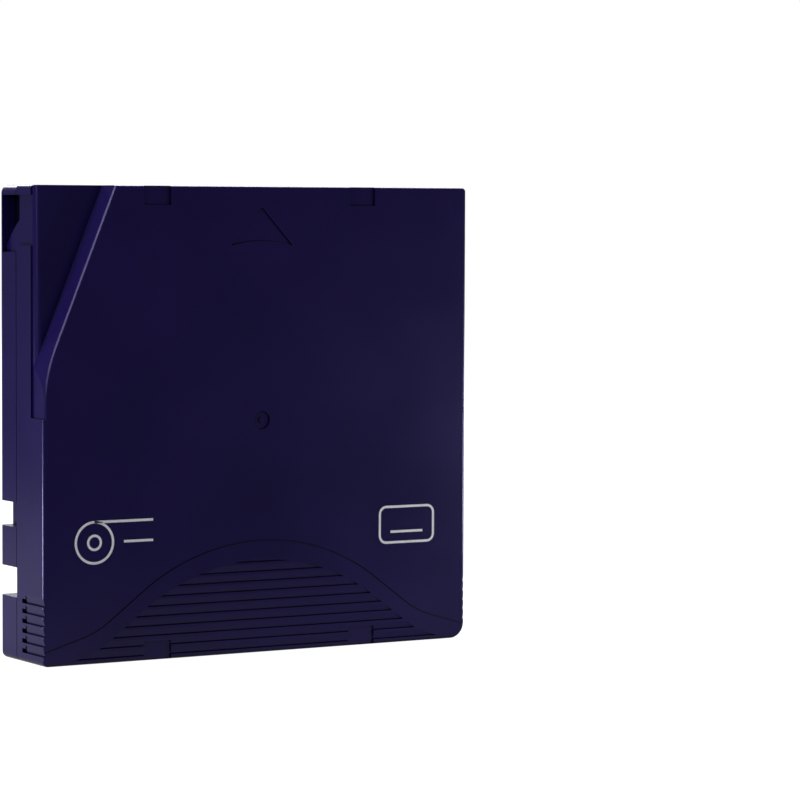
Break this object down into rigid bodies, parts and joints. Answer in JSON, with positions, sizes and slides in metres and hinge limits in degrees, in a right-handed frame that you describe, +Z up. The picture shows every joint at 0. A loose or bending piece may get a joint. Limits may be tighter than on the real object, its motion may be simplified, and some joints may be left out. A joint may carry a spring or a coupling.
{
  "type": "data tape cartridge",
  "caption": "Square, flat moulded case with one reel of magnetic tape: cut-back corner with a sliding tape door, ribbed thumb grip, arrow, gripper notches and a toothed hub.",
  "frame": {"origin": "middle of the rear edge that the cartridge stands on: centre of the bounding box across and through its thickness, at its lowest point", "axes": "+Z up along the way the cartridge enters the drive (rear edge to front edge); +X across, from the tape door's side to the other side; +Y through the thickness, from the top face with the arrow to the bottom face with the reel opening"},
  "size_m": [0.1054, 0.0216, 0.102],
  "materials": {
    "case_plastic": "fine satin moulding, dark violet blue",
    "door_plastic": "fine satin moulding, dark violet blue",
    "screw_steel": "dark zinc plate",
    "spring_steel": "drawn wire",
    "pin_steel": "turned and polished",
    "clip_plastic": "satin",
    "tape": "smooth magnetic coating",
    "reel_plastic": "natural glass-filled plastic",
    "washer_steel": "stamped, nickel plated",
    "brake_plastic": "natural acetal",
    "pad_plastic": "grey acetal",
    "switch_plastic": "satin",
    "board_laminate": "solder mask",
    "chip_resin": "cast resin"
  },
  "bodies": {
    "case": {"upper_shell": "case_plastic", "lower_shell": "case_plastic", "case_screws": "screw_steel", "door_spring": "spring_steel", "leader_pin": "pin_steel", "leader_pin_clip": "clip_plastic", "pin_retaining_wire": "spring_steel", "tape_leader": "tape", "brake_spring": "spring_steel", "memory_board": "board_laminate", "memory_chip": "chip_resin"},
    "door": {"access_door": "door_plastic"},
    "reel": {"reel_hub": "reel_plastic", "reel_top_flange": "reel_plastic", "drive_washer": "washer_steel", "tape_pack": "tape"},
    "release_pad": {"brake_release_pad": "pad_plastic"},
    "brake": {"brake_button": "brake_plastic"},
    "write_protect": {"write_protect_switch": "switch_plastic"}
  },
  "joints": [
    {"name": "door_slide", "type": "slide", "parent": "case", "child": "door", "axis": [0, 0, -1], "range_m": [0, 0.0125], "stiffness_N_per_m": 20, "springref_m": -0.005, "deforming": ["door_spring"]},
    {"name": "reel_spin", "type": "hinge", "parent": "case", "child": "reel", "pos_m": [0, 0, 0.051], "axis": [0, 1, 0], "continuous": true},
    {"name": "pad_push", "type": "slide", "parent": "reel", "child": "release_pad", "axis": [0, -1, 0], "range_m": [0, 0.0018]},
    {"name": "brake_lift", "type": "slide", "parent": "case", "child": "brake", "axis": [0, -1, 0], "range_m": [0, 0.0018], "stiffness_N_per_m": 500, "springref_m": -0.01, "deforming": ["brake_spring"]},
    {"name": "write_protect_slide", "type": "slide", "parent": "case", "child": "write_protect", "axis": [1, 0, 0], "range_m": [0, 0.0044]}
  ],
  "couplings": [
    {"joint": "brake_lift", "follows": "pad_push", "ratio": 1}
  ]
}
